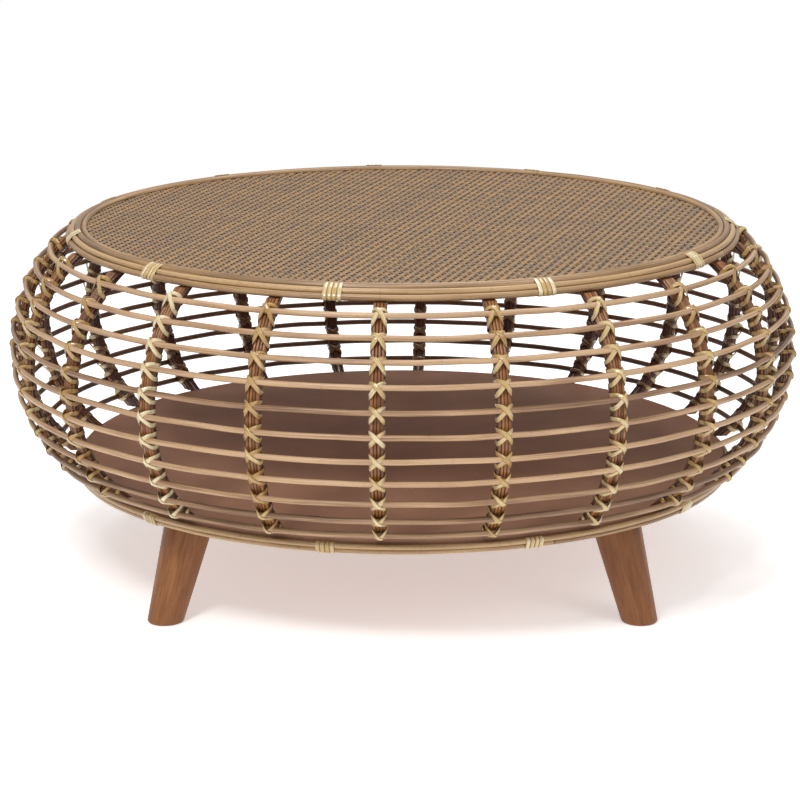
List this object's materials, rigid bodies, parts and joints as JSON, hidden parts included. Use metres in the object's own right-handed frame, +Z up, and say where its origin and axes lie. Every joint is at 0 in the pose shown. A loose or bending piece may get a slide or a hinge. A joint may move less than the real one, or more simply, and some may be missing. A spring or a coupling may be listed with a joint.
{
  "type": "wicker coffee table",
  "caption": "Round rattan coffee table: woven top with a bound cane rim on a bulging cage of dark ribs and lashed hoops, on splayed tapered wooden legs.",
  "frame": {"origin": "on the floor, under the table's centre line", "axes": "+Z up; -Y is the front; the bulging cage is centred on Z and the legs stand at 45 degrees to X and Y"},
  "size_m": [0.9004, 0.9021, 0.3982],
  "materials": {
    "board": "matte brown-stained fibreboard",
    "mat_weave": "satin twill of narrow split rattan",
    "rim_cane": "satin lacquered golden cane",
    "hoop_cane": "satin pale tan cane",
    "rib_cane": "dark brown stained cane",
    "peel": "glossy cream rattan peel",
    "leg_wood": "satin reddish-brown stained hardwood",
    "zinc_steel": "zinc-plated steel"
  },
  "bodies": {
    "root": {"top_board": "board", "top_mat": "mat_weave", "rim_trim": "rim_cane", "rim_cane_lower": "rim_cane", "rim_cane_middle": "rim_cane", "rim_cane_upper": "rim_cane", "rim_bindings": "peel", "hoop_01": "hoop_cane", "hoop_02": "hoop_cane", "hoop_03": "hoop_cane", "hoop_04": "hoop_cane", "hoop_05": "hoop_cane", "hoop_06": "hoop_cane", "hoop_07": "hoop_cane", "hoop_08": "hoop_cane", "hoop_09": "hoop_cane", "hoop_10": "hoop_cane", "hoop_11": "hoop_cane", "rib_01": "rib_cane", "rib_02": "rib_cane", "rib_03": "rib_cane", "rib_04": "rib_cane", "rib_05": "rib_cane", "rib_06": "rib_cane", "rib_07": "rib_cane", "rib_08": "rib_cane", "rib_09": "rib_cane", "rib_10": "rib_cane", "rib_11": "rib_cane", "rib_12": "rib_cane", "rib_13": "rib_cane", "rib_14": "rib_cane", "rib_15": "rib_cane", "rib_16": "rib_cane", "rib_17": "rib_cane", "rib_18": "rib_cane", "rib_19": "rib_cane", "rib_20": "rib_cane", "rib_21": "rib_cane", "rib_22": "rib_cane", "rib_lashings": "peel", "rib_nails": "zinc_steel", "base_board": "board", "base_cane_lower": "rim_cane", "base_cane_upper": "rim_cane", "base_bindings": "peel", "leg_1": "leg_wood", "leg_2": "leg_wood", "leg_3": "leg_wood", "leg_4": "leg_wood", "leg_plate_1": "zinc_steel", "leg_plate_2": "zinc_steel", "leg_plate_3": "zinc_steel", "leg_plate_4": "zinc_steel", "hanger_bolt_1": "zinc_steel", "hanger_bolt_2": "zinc_steel", "hanger_bolt_3": "zinc_steel", "hanger_bolt_4": "zinc_steel", "plate_screws": "zinc_steel"}
  },
  "joints": []
}
